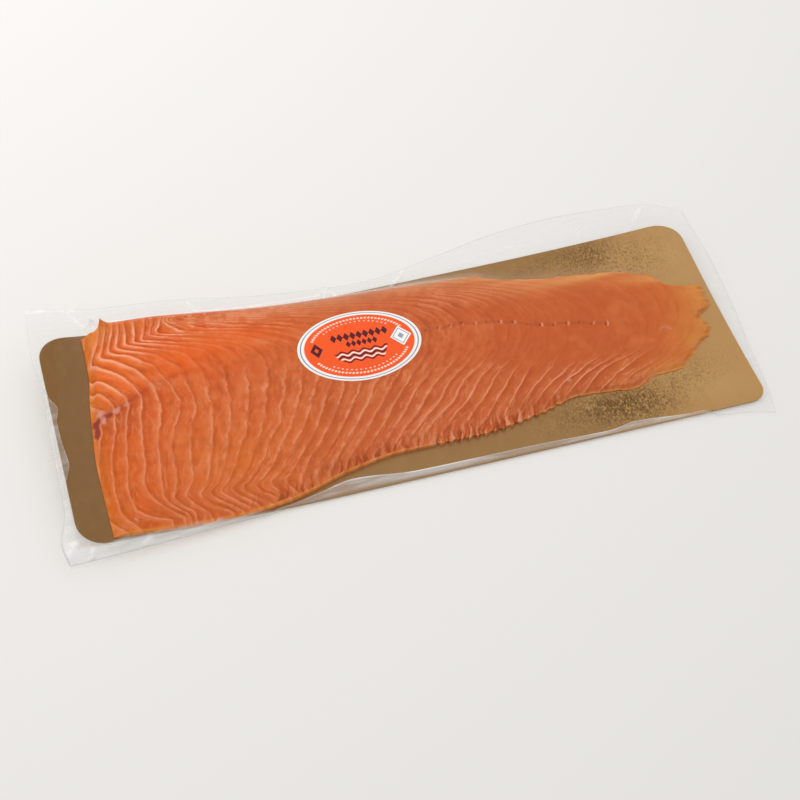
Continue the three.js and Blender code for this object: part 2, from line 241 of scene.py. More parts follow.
# Flesh along x, between the lines of fat, and its soft patches: [x, y, reach along x, along y, amount]
FLESH_BODY = [(-272, "d4622a"), (-200, "d16235"), (-100, "cb6539"), (0, "c5623a"), (100, "c16038"),
              (200, "be5f37"), (262, "c56838"), (294, "ca783e")]
FLESH_PATCHES = [
    ("e26a2c", [[-240, 55, 42, 40, 0.95]]),
    ("db5c24", [[-200, 74, 34, 16, 0.85], [-150, 78, 46, 12, 0.7]]),
    ("e2662e", [[-185, 44, 34, 28, 0.85], [-130, 66, 50, 22, 0.75]]),
    ("c95f2a", [[-180, 94, 70, 10, 0.9]]),
    ("cd6a3e", [[-110, 94, 40, 9, 0.7]]),
    # Painted sheen: the next two patches are paler and greyer where the film's reflection lies along the back
    # edge
    ("c47c58", [[-70, 95, 50, 12, 0.8], [-10, 92, 50, 13, 0.9]]),
    ("bc8456", [[50, 92, 40, 9, 0.8], [85, 89, 24, 7, 0.5]]),
    ("cb7a4c", [[110, 72, 60, 14, 0.6], [165, 66, 46, 11, 0.7]]),
    ("d67038", [[-180, -60, 50, 50, 0.7], [-125, -60, 50, 40, 0.6]]),
    # Painted shade: a dark patch in the valley along the middle, by the cut end
    ("a84820", [[-252, 0, 20, 14, 0.75]]),
    ("cc6200", [[-267, -62, 17, 62, 1.2], [-236, -102, 40, 10, 0.8]]),
    ("d9741c", [[-266, 28, 9, 14, 0.8], [-266, 84, 9, 14, 0.8]]),
    ("e08436", [[-252, 97, 18, 12, 0.9]]),
    ("b45c30", [[115, -66, 50, 8, 0.7], [175, -50, 50, 14, 0.4], [-75, -84, 30, 8, 0.5]]),
    ("c87a3d", [[290, 5, 26, 40, 0.9], [266, -26, 20, 18, 0.7], [238, -50, 26, 12, 0.5]]),
    ("cd8c50", [[200, 64, 50, 6, 0.8], [245, 50, 30, 6, 0.6]]),
    ("d99a5c", [[120, 86, 26, 4, 0.8], [160, 76, 40, 4, 0.8], [215, 65, 40, 4, 0.8], [262, 45, 22, 5, 0.7]]),
    ("cf8f4c", [[292, 22, 12, 22, 0.8], [288, -14, 12, 14, 0.8], [270, -36, 14, 8, 0.7],
                [235, -57, 30, 5, 0.5]]),
]
# Painted shade along the valley in the middle, darkest just under its middle line: colour, reach below and
# above, and amount, which fades out along x from the cut end
CREASE_SHADE = {"colour": "a8401a", "below": 10, "above": 1.6, "amount": 0.9}
crease_shade_share = curve([[-272, 0.6], [-255, 0.8], [-205, 0.8], [-180, 0.4], [-150, 0.1], [-100, 0]])

# Pale edges of the flesh: colour, reach inwards and amount
EDGES = {"belly": ("e59a48", 1.3, 0.75), "cut": ("da7a22", 4, 0.8)}

# Spots of blood by the cut end, pale spots, and the row of marks where the pin bones were
BLOOD_SPOTS = [[-264.5, 7, 4.5, 4, 1.0], [-265.5, -4, 3.5, 7, 1.1], [-253, 7.5, 4, 4, 0.9],
               [-241, 11, 7, 2.5, 0.5]]
PALE_SPOTS = [[-260, 13, 5.5, 3, 1.0], [-258.5, 4, 3, 6.5, 0.9], [-245.7, 10, 4, 4.5, 0.95],
              [-235.5, 13.2, 4.5, 2.2, 0.8], [-251, -97, 3, 5, 0.6], [-243, -100, 6, 2, 0.5],
              [142, -46, 4, 3, 0.7], [192, -53, 4, 2.4, 0.6], [244.5, -14, 7, 7, 0.55]]
BONE_MARKS = {"first": 36, "last": 198, "pitch": 11.4, "soft_end": 5, "wobble": 7.0, "lean": -0.3}

# Where in a flake its short lines start, how far they lean and how long they are
SHORT_STARTS = [(0.46, 0.012, 13), (0.24, -0.02, 11), (0.71, 0.035, 12)]

# Gold foil: how bright its painted reflection is along x, its patches of coarser grain with painted glints
# and dark flecks, and its painted dark and light reflections
foil_reflection_share = curve([[-300, 0.0], [-250, 0.05], [-100, 0.3], [0, 0.38], [130, 0.42], [220, 0.85], [300, 1.0]])
SPECKLES = [[175, -82, 34, 18, 0.8], [205, -88, 30, 18, 0.8], [205, 92, 30, 22, 0.8], [150, -72, 26, 10, 0.5],
            [245, -66, 34, 18, 0.6], [250, 76, 30, 22, 0.7], [150, 94, 30, 10, 0.3], [130, -90, 40, 12, 0.3]]
FOIL_REFLECTIONS = [("765226", [[172, -84, 30, 16, 0.8], [205, -86, 24, 16, 0.4], [208, 96, 24, 22, 0.6],
                           [170, 100, 24, 12, 0.3]]),
               ("cfa56e", [[262, -84, 30, 16, 0.45], [280, 70, 20, 30, 0.45], [232, 82, 8, 12, 0.3]])]
# Ends of the painted reflection along x: dull at the left end, bright at the right
FOIL_DULL, FOIL_BRIGHT = "8b6740", "c2965f"

# The label's print: inks, rings of the border, rows of dots and of lozenges, diamonds and waves
WHITE, RED, MAROON, NAVY = "f6f2ee", "f75f2f", "5c2430", "4e5684"
BORDER_RINGS = [(0.958, NAVY), (0.942, WHITE), (0.892, RED)]
DOT_ROWS = [(0.79, 13.0, 0.34, 0.35), (0.7, 9.0, 0.2, 0.62)]
DOTS = {"ink": "f8dccc", "half_x": 56.0, "half_y": 40.0, "flat": 13.0}
LOZENGE_ROWS = [(11.0, 5.8, -24.0, 28.2, 2.9), (2.4, 4.8, -12.0, 16.8, 2.3)]
LOZENGE_SLOPE = 0.62
DIAMONDS = [(-38.5, 0.7, 5.6, MAROON), (-38.5, 0.7, 2.0, RED), (38, 0.85, 9.6, WHITE), (38, 0.85, 7.6, NAVY),
            (38, 0.85, 6.9, WHITE), (38, 0.85, 3.0, "9aa0bd")]
DIAMOND_Y = 1.5
WAVES = [(-6.0, 0.8, 24, MAROON), (-8.4, 0.7, 23, WHITE), (-11.0, 1.1, 22, MAROON), (-13.8, 0.6, 20, WHITE),
         (-16.0, 0.8, 18, MAROON)]
WAVE = {"turns": 0.62, "height": 1.2}

# Film beyond the board: its outer edges, and the stretch of the belly side that is folded over the board
film_back_edge = curve([[-301, 152], [-233, 146], [-188, 147], [-94, 132], [0, 122], [68, 134],
                        [141, 149], [196, 153], [259, 149], [295, 135], [312, 117]])
film_left_over = curve([[-131, 9], [-105, 14], [-72, 6], [0, 5], [53, 3], [90, 6], [150, 3]])
film_right_over = curve([[-130, 4], [-94, 9], [-50, 11], [0, 15], [52, 16], [112, 12.5]])
belly_margin = curve([[-301, 13], [-245, 9], [-203, 6], [-152, 2], [-132, 2], [-97, 8.5], [-68, 15],
                      [-10, 8.5], [94, 7], [160, 4.5], [182, 8], [236, 3], [273, 7], [311, 15]])
fold_over = curve([[-146, 0], [-128, 1], [236, 1], [256, 0]])
FILM_PAST = 0.5
FILM_END = HALF_LENGTH + FILM_PAST
HINGE = -HALF_WIDTH - FILM_PAST

# Rows of points past each end of the board, evenly spaced, which are then drawn out to the film's edge
PAST_END = 10
PAST_ROWS = 5

# How the margins sink with the square of their distance from the board, and the raised seam at the back
SAG = {"left_belly": 0.021, "elsewhere": 0.003, "from": -300, "to": -150, "seam": 0.9, "seam_reach": 6}

# Heights of the film: its middle above its underside, its lowest, and the upper web above other things
FILM_MIDDLE = FILM_THICKNESS / 2
FILM_LOWEST = 0.2
CLING = {"film": 0.25, "board": 0.15, "flesh": 0.25, "label_edge": 1.02, "rounds": 60, "pull": 0.8}
UPPER_WEB = {"spacing": 2.0, "across": 141}
LOWER_WEB = {"spacing": 4.0, "margin": 7, "under": 23, "back": 13}

# How milky the film is: where it is clear, in its margins and in the folded part; the painted highlight at
# the fold's free edge; the curls, partly milky and partly a painted highlight; the painted highlights along
# the creases; and its cut edge
FILM_WHITENESS = {"clear": 0.004, "margin": 0.05, "reach": 30, "fold": 0.32, "fold_edge_highlight": 0.5, "curl": 0.2,
        "crease_highlight": 0.35, "rim": 0.3}

# Where the film beyond the board is whitest, partly milky and partly painted light over the shade beside the
# board's edges: [x, y, reach along x, reach along y, amount]
WHITE_MARGIN = [[-290, -116, 50, 16, 0.4], [-225, -118, 50, 12, 0.4], [-160, -114, 45, 8, 0.4],
                [-308, -88, 10, 36, 0.3], [-308, 10, 10, 70, 0.35]]

# Creases that stand up in the film: [x, y] at one end, at the other, height and half width
CREASES = [
    [[-40, 104], [-34, 128], 1.8, 1.6],
    [[-27, 101], [-32, 120], 1.8, 1.8],
    [[20, 100], [43, 127], 2.0, 1.8],
    [[78, 113], [112, 122], 1.5, 1.8],
    [[134, 127], [160, 121], 1.3, 1.8],
    [[-150, 112], [-162, 140], 1.2, 2.4],
    [[-252, 112], [-270, 148], 1.6, 2.6],
    [[211, 114], [210, 136], 1.4, 2.0],
    [[262, 118], [284, 146], 1.4, 2.4],
    [[-301, -103], [-311, -120], 1.6, 2.4],
    [[-289, -112], [-293, -124], 1.8, 2.4],
    [[-240, -112], [-252, -120], 0.9, 2.0],
    [[300, -60], [312, -64], 1.0, 2.0],
    [[300, 20], [316, 26], 1.0, 2.4],
]

# The film's left end curls up over the board's edge in two scallops: how far in it reaches, along y
curl_reach = curve([[-62, 0.3], [-47, 1.5], [-30, 7], [-8, 5], [4, 4.6], [14, 4.4], [28, 7.5], [44, 2],
                    [64, 0.3]])
CURL = {"from": -62, "to": 64, "cells": (84, 13), "past": 1.2, "bulge": 1.6, "foot": 0.8, "height": 2.9,
        "lip": 0.7, "slope": 0.3}

FLOOR = {"half": 4, "colour": "efedea"}

# Two soft lamps, which shine towards the middle of the pack, and the light of the room
LAMPS = [
    {"name": "soft_box_above", "place": (-0.8, 1.35, 1.8), "size": 2.2, "power": 27, "mirrored": False},
    {"name": "soft_box_behind", "place": (0.2, 2.2, 0.6), "size": 0.3, "power": 0.8, "mirrored": True},
]
ROOM_LIGHT = {"colour": (1, 0.995, 0.985, 1), "strength": 0.69}

# The camera stands in front of the pack and a little to its left, and looks down at it
CAMERA = {
    "place": (-0.29172, -1.04330, 1.28633),
    "right": (0.96176, -0.27390, -0.00080),
    "down": (-0.21283, -0.74550, -0.63161),
    "forward": (0.17240, 0.60763, -0.77529),
    "lens": 85.5,
    "sensor": 36,
}


def lift(x, y):
    """Height of the bent board above its flat middle."""
    across = (y + HALF_WIDTH) / BOARD["width"]
    left = np.maximum(0, (BEND["left"] - x) / (HALF_LENGTH + BEND["left"]))
    right = np.maximum(0, (x - BEND["right"]) / (HALF_LENGTH - BEND["right"]))
    left_rise = lerp(BEND["left_near"], BEND["left_far"], across)
    right_rise = lerp(BEND["right_near"], BEND["right_far"], across)
    return left_rise * left ** 2 + right_rise * right ** 2


def crinkle(x):
    """Ridges and furrows of the belly edge, fading out at both ends of their stretch."""
    starts = smoothstep(x, CRINKLE["from"], CRINKLE["from"] + CRINKLE["pitch"])
    ends = smoothstep(x, CRINKLE["to"] - CRINKLE["pitch"], CRINKLE["to"])
    return starts * (1 - ends) * np.cos(2 * np.pi * x / CRINKLE["pitch"])


def flesh_thickness(x, v):
    """Thickness of the flesh at x, where v runs from 0 at the belly edge to 1 at the back."""
    place = crown_place(x)
    rim = np.where(v < place, belly_rim(x), back_rim(x))
    belly_side = 1 - (1 - np.clip(v / place, 0, 1)) ** BELLY_POWER
    past = np.clip((v - place) / (1 - place), 0, 1)
    back_side = np.sqrt(np.maximum(0, 1 - past ** back_squareness(x)))
    raised = shoulder(x) * smoothstep(v, SHOULDER_SPAN["from"], SHOULDER_SPAN["to"])
    fin_reach = np.where(x < FIN["x"], FIN["reach_left"], FIN["reach_right"])
    fin = FIN["height"] * np.exp(-np.abs(x - FIN["x"]) / fin_reach - ((v - FIN["v"]) / FIN["spread"]) ** 2)
    ridge = CRINKLE["height"] * crinkle(x) * np.exp(-v / CRINKLE["spread"])
    return rim + (crown(x) - rim + raised) * np.where(v < place, belly_side, back_side) + fin + ridge


def flesh_place(station, y):
    """Place along x of a point of the flesh, drawn towards the slanting cut end or the ragged tail end."""
    cut_share = 1 - smoothstep(station, CUT_STATION, CUT_STATION + END_REACH["cut"])
    tail_share = np.maximum(0, (station - TAIL_STATION) / END_REACH["tail"] + 1)
    return station + (cut_end(y) - CUT_STATION) * cut_share + (tail_end(y) - TAIL_STATION) * tail_share


def flesh_top(x, y):
    """Height of the flesh's surface at a place on the board."""
    near = belly_edge(x)
    v = np.clip((y - near) / (back_edge(x) - near), 0, 1)
    return FLESH_UNDER + lift(x, y) + flesh_thickness(x, v)


def flake_number(x, y):
    """Number of flakes from the cut end to a place: whole on the lines of fat, part-way between them."""
    number = FAT_LINES[0][0] + np.minimum(0, x - curve(FAT_LINES[0][1])(y)) / OUTER_FLAKE
    number += np.maximum(0, x - curve(FAT_LINES[-1][1])(y)) / OUTER_FLAKE
    for (first, near), (last, far) in zip(FAT_LINES, FAT_LINES[1:]):
        start = curve(near)(y)
        reach = np.maximum(1, curve(far)(y) - start)
        number += (last - first) * np.clip((x - start) / reach, 0, 1)
    return number


def flake_width(x, y):
    """Distance between two lines of fat at a place."""
    step = 0.5
    along = (flake_number(x + step, y) - flake_number(x - step, y)) / (2 * step)
    across = (flake_number(x, y + step) - flake_number(x, y - step)) / (2 * step)
    return 1 / np.maximum(1 / WIDEST_FLAKE, np.hypot(along, across))


def patches(x, y, spots):
    """Sum of soft round patches, each [x, y, reach along x, reach along y, amount]."""
    total = np.zeros_like(x, dtype=float)
    for px, py, reach_x, reach_y, amount in spots:
        total += amount * np.exp(-((x - px) / reach_x) ** 2 - ((y - py) / reach_y) ** 2)
    return total


def patch_share(x, y, spots):
    """The same sum, from 0 to 1."""
    return np.clip(patches(x, y, spots), 0, 1)


def fat_strength(x, y):
    """How plainly the lines of fat show, from 0 to 1."""
    belly_half = 1 - smoothstep(y - fat_limit(x), *FAT["limit"])
    belly_half = belly_half * (1 - smoothstep(x, *FAT["tail"]))
    return np.clip(FAT["least"] + FAT["belly_half"] * belly_half + patches(x, y, FAT_PATCHES), 0, 1)


def linear(hexcode):
    """Linear red, green and blue of a colour written as six hexadecimal digits."""
    share = np.array([int(hexcode[i:i + 2], 16) / 255 for i in (0, 2, 4)])
    return np.where(share > 0.04045, ((share + 0.055) / 1.055) ** 2.4, share / 12.92)


def to_frame(points):
    """Points on the board's axes in millimetres, as places in the model in metres."""
    return np.asarray(points, float) / METRE + ORIGIN


def mesh_object(name, points, faces, materials, values, body="root", replaces=(), sharp=40):
    """A mesh that rides on a body, with its materials and what they read at each of its points."""
    mesh = bpy.data.meshes.new(name)
    mesh.from_pydata(to_frame(points).tolist(), [], faces)
    mesh.polygons.foreach_set("use_smooth", [True] * len(mesh.polygons))
    mesh.set_sharp_from_angle(angle=np.radians(sharp))
    for value_name, numbers in values.items():
        numbers = np.asarray(numbers, np.float32).reshape(len(points), -1)
        kind, field = ("FLOAT", "value") if numbers.shape[1] == 1 else ("FLOAT_COLOR", "color")
        mesh.attributes.new(value_name, kind, "POINT").data.foreach_set(field, numbers.ravel())
    for material in materials:
        mesh.materials.append(material)
    thing = bpy.data.objects.new(name, mesh)
    bpy.context.scene.collection.objects.link(thing)
    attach(thing, body)
    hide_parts(*replaces)
    return thing


def grid_faces(rows, cols, closed=False):
    """Faces between rows of points. Closed rows make a tube."""
    i, j = np.meshgrid(np.arange(rows - 1), np.arange(cols - 1 + closed), indexing="ij")
    after = (j + 1) % cols
    quads = [i * cols + j, (i + 1) * cols + j, (i + 1) * cols + after, i * cols + after]
    return np.stack(quads, axis=-1).reshape(-1, 4)


class Number:
    """A number worked out by a material's nodes, which adds, multiplies and so on as plain numbers do."""

    def __init__(self, shader, socket):
        self.shader = shader
        self.socket = socket

    def __abs__(self):
        return self.shader.math("ABSOLUTE", self)


def operator(name):
    return lambda number, other: number.shader.math(name, number, other)


Number.__add__ = operator("ADD")
Number.__sub__ = operator("SUBTRACT")
Number.__mul__ = operator("MULTIPLY")
Number.__truediv__ = operator("DIVIDE")
Number.__pow__ = operator("POWER")


class Shader:
    """Builds the nodes of one material."""

    def __init__(self, name):
        self.material = bpy.data.materials.new(name)
        self.material.use_nodes = True
        self.tree = self.material.node_tree
        self.tree.nodes.clear()
        self.places = self.node("ShaderNodeTexCoord").outputs["Object"]

    def node(self, kind, inputs=None, **settings):
        made = self.tree.nodes.new(kind)
        for key, value in settings.items():
            setattr(made, key, value)
        for key, value in (inputs or {}).items():
            self.feed(made.inputs[key], value)
        return made

    def feed(self, socket, value):
        if isinstance(value, Number):
            value = value.socket
        if isinstance(value, bpy.types.NodeSocket):
            self.tree.links.new(value, socket)
        else:
            socket.default_value = value

    def math(self, operation, *values):
        made = self.node("ShaderNodeMath", dict(enumerate(values)), operation=operation)
        return Number(self, made.outputs[0])

    def fraction(self, value):
        return self.math("FRACT", value)

    def root(self, value):
        return self.math("SQRT", value)

    def most(self, a, b):
        return self.math("MAXIMUM", a, b)

    def value(self, name):
        return Number(self, self.node("ShaderNodeAttribute", attribute_name=name).outputs["Fac"])

    def colour(self, name):
        return self.node("ShaderNodeAttribute", attribute_name=name).outputs["Color"]

    def noise(self, size, detail=2.0, stretch=(1, 1, 1), rough=0.5):
        """Noise from 0 to 1 with spots of about size millimetres, drawn out along the axes by stretch."""
        scale = [METRE / (size * share) for share in stretch]
        place = self.node("ShaderNodeVectorMath", {0: self.places, 1: scale}, operation="MULTIPLY")
        return self.noise_at(place.outputs[0], detail, rough)

    def noise_at(self, place, detail, rough=0.5):
        inputs = {"Vector": place, "Scale": 1.0, "Detail": detail, "Roughness": rough}
        return Number(self, self.node("ShaderNodeTexNoise", inputs).outputs["Fac"])

    def sway(self, size, amount):
        """Noise about zero, over the given amount from its lowest to its highest."""
        return (self.noise(size, 2) - 0.5) * amount

    def step(self, value, low, high):
        """0 below low, 1 above high and smooth between them. With low above high, it falls."""
        inputs = {"Value": value, "From Min": low, "From Max": high}
        made = self.node("ShaderNodeMapRange", inputs, interpolation_type="SMOOTHSTEP")
        return Number(self, made.outputs["Result"])

    def inside(self, distance, edge, soft=0.01):
        """1 below the edge and 0 above it, smooth over soft to either side."""
        return self.step(distance, edge + soft, edge - soft)

    def mix(self, share, a, b):
        made = self.node("ShaderNodeMix", data_type="RGBA")
        for key, value in ((0, share), (6, a), (7, b)):
            self.feed(made.inputs[key], value)
        return made.outputs[2]

    def tint(self, colour, hexcode, share):
        return self.mix(share, colour, rgba(hexcode))

    def mottle(self, colour, pattern, spread, light, light_share, dark, dark_share):
        """Colour tinted light where a pattern is high and dark where it is low."""
        colour = self.tint(colour, light, self.step(pattern, 0.5, 0.5 + spread) * light_share)
        return self.tint(colour, dark, self.step(pattern, 0.5, 0.5 - spread) * dark_share)

    def bump(self, height, distance):
        """Bump of the given distance in millimetres where height is 1."""
        inputs = {"Height": height, "Distance": distance / METRE, "Strength": 1.0}
        return self.node("ShaderNodeBump", inputs).outputs["Normal"]

    def principled(self, inputs):
        return self.finish(self.node("ShaderNodeBsdfPrincipled", inputs))

    def finish(self, surface):
        output = self.node("ShaderNodeOutputMaterial")
        self.tree.links.new(surface.outputs[0], output.inputs["Surface"])
        return self.material


def rgba(hexcode):
    return opaque(linear(hexcode))


def under_film(hexcode):
    """Colour of a thing that shows as hexcode through the film."""
    return np.clip((linear(hexcode) - FILM_WHITE) / FILM_CLEAR, 0.004, 1)


def opaque(colours):
    return np.insert(colours, 3, 1, axis=-1)


def blend(colour, hexcode, share):
    """Colours at many places, each mixed with the one that shows as hexcode through the film."""
    return lerp(colour, under_film(hexcode), share[..., None])


def paint(colour, x, y, layers):
    """Colours at many places, with soft patches over them: [hexcode, spots]."""
    for hexcode, spots in layers:
        colour = blend(colour, hexcode, patch_share(x, y, spots))
    return colour


def flesh_relief(x, y, v):
    """Fine relief of the surface: swelling flakes, the valley along the middle and the slices' edges."""
    swell = FLAKE_SWELL * fat_strength(x, y) * (0.5 - 0.5 * np.cos(2 * np.pi * flake_number(x, y)))
    valley = VALLEY["depth"] * valley_share(x) * np.exp(-((y - midline(x)) / VALLEY["spread"]) ** 2)
    steps = 0
    for slice_x, slice_y, height in SLICE_STEPS:
        aside = x - slice_x - (y - slice_y) * SLICE["lean"]
        reach = ((x - slice_x) / SLICE["along"]) ** 2 + ((y - slice_y) / SLICE["across"]) ** 2
        steps += height * smoothstep(aside, -SLICE["half"], SLICE["half"]) * np.exp(-reach)
    fade = smoothstep(np.minimum(v, 1 - v), 0, RELIEF_FADE)
    return fade * (swell - valley - steps)


def flesh_colours(x, y, v):
    """Colour of the flesh at many places, without its lines, which the material adds."""
    places, codes = zip(*FLESH_BODY)
    body = np.array([under_film(code) for code in codes])
    colour = np.stack([np.interp(x, places, channel) for channel in body.T], axis=-1)
    colour = paint(colour, x, y, FLESH_PATCHES)
    # Painted shade along the valley in the middle, darkest just under its middle line
    below = midline(x) - y
    shadow = np.exp(-np.maximum(0, below) / CREASE_SHADE["below"] + np.minimum(0, below) / CREASE_SHADE["above"])
    colour = blend(colour, CREASE_SHADE["colour"], CREASE_SHADE["amount"] * crease_shade_share(x) * shadow)
    inward = {"belly": v * (back_edge(x) - belly_edge(x)), "cut": np.maximum(0, x - cut_end(y))}
    for edge, (hexcode, reach, amount) in EDGES.items():
        colour = blend(colour, hexcode, amount * np.exp(-inward[edge] / reach))
    return colour


def flesh_values(x, y, v):
    """What the flesh's material reads, at many places."""
    in_block = patch_share(x, y, BACK_BLOCK)
    by_tail = patch_share(x, y, LONG_LINES)
    whole = WHOLE_IN_PATCHES * np.maximum(in_block, by_tail)
    fewer = (1 - FEWER_SHORT["block"] * in_block) * (1 - FEWER_SHORT["long"] * by_tail)
    inward = y - belly_edge(x)
    pale_edge = (1 - smoothstep(inward, *PALE_EDGE["across"])) * (1 - smoothstep(x, *PALE_EDGE["along"]))
    by_belly = np.exp(-(inward / RUFFLE_REACH) ** 2) * (1 - pale_edge)
    return {
        "flake_number": flake_number(x - BLOCK["shift"] * in_block, y),
        "flake_width": flake_width(x, y),
        "fat": fat_strength(x, y),
        "second_lines": ramp(x, *SHORT_LINES) * fewer,
        "unbroken": np.maximum(whole, ramp(x, *WHOLE_BY_CUT)),
        "unevenness": ramp(x, *UNEVENNESS),
        "line_rise": line_rise(x) + BLOCK["rise"] * in_block,
        "line_fall": line_fall(x),
        "ruffle": by_belly * ruffle_share(x),
        "pleats": by_belly * pleat_share(x),
        "from_midline": y - midline(x),
        "along": x,
        "across": y,
        "blood": patch_share(x, y, BLOOD_SPOTS),
        "pale": patch_share(x, y, PALE_SPOTS),
        "flesh_colour": opaque(flesh_colours(x, y, v)),
    }


def ragged(place, shift):
    """Small irregular bites out of an edge, which grow towards the tail."""
    waves = sum(height * np.sin(place / length + times * shift) for height, length, times in EDGE_WAVES)
    return RAGGED["depth"] * waves * smoothstep(place, RAGGED["from"], RAGGED["to"])


def flesh_grid():
    """Points seen from above, in rows along x: the row's station, the share across, and x and y."""
    rows = round((TAIL_STATION - CUT_STATION) / FLESH_MESH["along"])
    stations = np.linspace(CUT_STATION, TAIL_STATION, rows)
    across = (1 - np.cos(np.linspace(0, np.pi, FLESH_MESH["across"] + 1))) / 2
    station, v = np.meshgrid(stations, across, indexing="ij")
    near = belly_edge(station) - CRINKLE["out"] * crinkle(station) + ragged(station, EDGE_SHIFT["belly"])
    y = lerp(near, back_edge(station) + ragged(station, EDGE_SHIFT["back"]), v)
    feathers = sum(height * np.sin(y / length + turn) for height, length, turn in FEATHERS)
    feathers *= RAGGED["depth"] * smoothstep(station, RAGGED["feathers_from"], TAIL_STATION)
    return station, v, flesh_place(station, y) + feathers, y


def make_flesh():
    """The side of salmon, with its fine relief above and fewer points below."""
    station, v, x, y = flesh_grid()
    inward = np.minimum.reduce([y - y[:, :1], y[:, -1:] - y, TAIL_STATION - station])
    thin = 1 - smoothstep(inward, 0, THIN_EDGE["reach"])
    thin *= smoothstep(station, THIN_EDGE["from"], THIN_EDGE["to"])
    thin += 1 - smoothstep(station, CUT_STATION, CUT_STATION + THIN_EDGE["cut_reach"])
    thick = flesh_thickness(station, v) * (1 - THIN_EDGE["share"] * thin)
    upper = np.stack([x, y, FLESH_UNDER + lift(x, y) + thick + flesh_relief(x, y, v)], axis=-1)
    picks = np.arange(FLESH_MESH["across"], -1, -FLESH_MESH["under_every"])
    lower = upper[:, picks].copy()
    lower[..., 2] = FLESH_UNDER + lift(lower[..., 0], lower[..., 1])
    rings = np.concatenate([upper, lower], axis=1)
    rows, points = rings.shape[:2]
    faces = grid_faces(rows, points, closed=True).tolist()
    for k in range(len(picks) - 1):
        first_below = v.shape[1] + k
        end = [*range(picks[k + 1], picks[k] + 1), first_below, first_below + 1]
        faces.append(end)
        faces.append([(rows - 1) * points + point for point in reversed(end)])
    values = flesh_values(rings[..., 0], rings[..., 1], np.concatenate([v, v[:, picks]], axis=1))
    mesh_object("salmon_flesh", rings.reshape(-1, 3), faces, [flesh_material()], values,
                replaces=["salmon_side"])


def fat_line(s, number, width, before, after):
    """A pale line that rises slowly on its side towards the cut end and falls off at once on the other."""
    past = (s.fraction(number + 0.5) - 0.5) * width
    rise = s.step(past, before * -1.0, 0.0) ** 2.2
    return rise * s.step(past, after, 0.1), past


def lines_of_fat(s, number, width, y):
    """The lines of fat and the shorter ones between them, the distance past a line, and its flake."""
    unbroken = s.value("unbroken")
    wander = s.sway(17, 0.5) + s.sway(6, 0.3) + s.sway(2.5, 0.05)
    phase = number + wander * s.math("SUBTRACT", 1.15, unbroken)
    rise = s.value("line_rise") * (s.noise(20, 2) * 1.6 + 0.3)
    rise = s.math("MINIMUM", rise, width * 0.55)
    whole, past = fat_line(s, phase, width, rise, s.value("line_fall"))
    lines = whole * s.most(s.step(s.noise(12, 3), 0.44, 0.56), unbroken)
    for start, lean, length in SHORT_STARTS:
        between, _ = fat_line(s, phase + (s.sway(length, 0.5) + start) + y * lean, width, 1.5, 0.8)
        short = between * s.step(s.noise(length, 2), 0.5, 0.6)
        lines = s.most(lines, short * s.value("second_lines"))
    return lines, past, phase


def furrow_belly(s, colour, along, y):
    """Furrows and pale folds of the thin belly edge."""
    fold = s.node("ShaderNodeCombineXYZ", {
        "X": (along + y * -0.25) / 3.2 + s.sway(9, 2.4),
        "Y": y / 22.0,
    })
    fold = s.noise_at(fold.outputs[0], 2.0)
    ruffle = s.value("ruffle")
    colour = s.tint(colour, "b04c10", ruffle * 0.3)
    colour = s.tint(colour, "a0430c", s.step(fold, 0.48, 0.38) * ruffle)
    return s.tint(colour, "f0a47e", s.step(fold, 0.52, 0.62) * s.value("pleats"))


def mark_pin_bones(s, colour, along):
    """A row of small pale strokes with dark dots, where the pin bones were."""
    place = (along - BONE_MARKS["first"]) / BONE_MARKS["pitch"] + s.sway(30, 0.5)
    aside = (s.fraction(place + 0.5) - 0.5) * BONE_MARKS["pitch"]
    away = s.value("from_midline") + s.sway(9, BONE_MARKS["wobble"])
    slant = aside + away * BONE_MARKS["lean"]

    def spot(shift, flat):
        return s.root((slant + shift) ** 2.0 + (away * flat) ** 2.0)

    begins = s.step(along, BONE_MARKS["first"] - BONE_MARKS["soft_end"], BONE_MARKS["first"])
    row = begins * s.step(along, BONE_MARKS["last"] + BONE_MARKS["soft_end"], BONE_MARKS["last"])
    seen = row * s.step(s.noise(16, 2), 0.38, 0.6)
    colour = s.tint(colour, "8e3a22", s.step(abs(away), 3.5, 0.5) * row * 0.22)
    colour = s.tint(colour, "f0a27e", s.step(spot(0.0, 0.42), 1.7, 0.3) * seen * 0.65)
    return s.tint(colour, "8c2c10", s.step(spot(1.9, 0.9), 1.5, 0.5) * row * 0.7)


